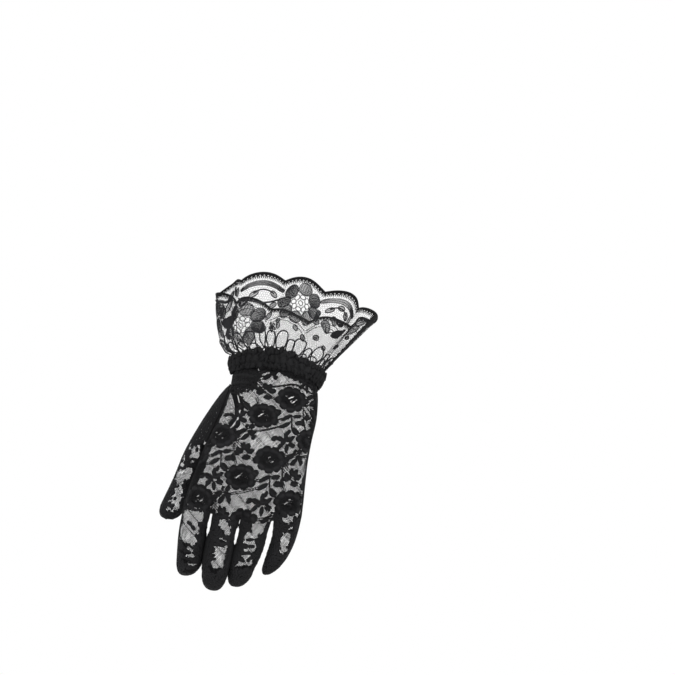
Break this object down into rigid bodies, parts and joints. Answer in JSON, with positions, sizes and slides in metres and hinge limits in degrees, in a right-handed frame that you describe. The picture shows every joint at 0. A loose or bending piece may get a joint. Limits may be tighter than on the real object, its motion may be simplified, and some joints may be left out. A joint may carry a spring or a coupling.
{
  "type": "lace glove",
  "caption": "Short ladies' dress glove for the left hand in black floral lace, with a gathered elastic wrist and a flared ruffle cuff with a scalloped rim, in worn form.",
  "frame": {"origin": "middle of the wrist opening, inside the elastic band", "axes": "+Z from the hand towards the elbow, back of the hand towards -Y, thumb towards -X"},
  "size_m": [0.1243, 0.0906, 0.2255],
  "materials": {
    "hand_lace": "matt stretch lace, flowers on a fine hexagonal net",
    "thumb_lace": "matt stretch lace, as the hand",
    "side_lace": "dense dark lace strips between the fingers",
    "band_elastic": "gathered elastic casing with a small frill",
    "cuff_lace": "wider open lace with a scalloped picot edge"
  },
  "bodies": {
    "root": {"back_panel": "hand_lace", "palm_panel": "hand_lace", "fourchette_index_middle": "side_lace", "fourchette_middle_ring": "side_lace", "fourchette_ring_little": "side_lace", "thumb": "thumb_lace", "wrist_band": "band_elastic", "ruffle": "cuff_lace"}
  },
  "joints": []
}
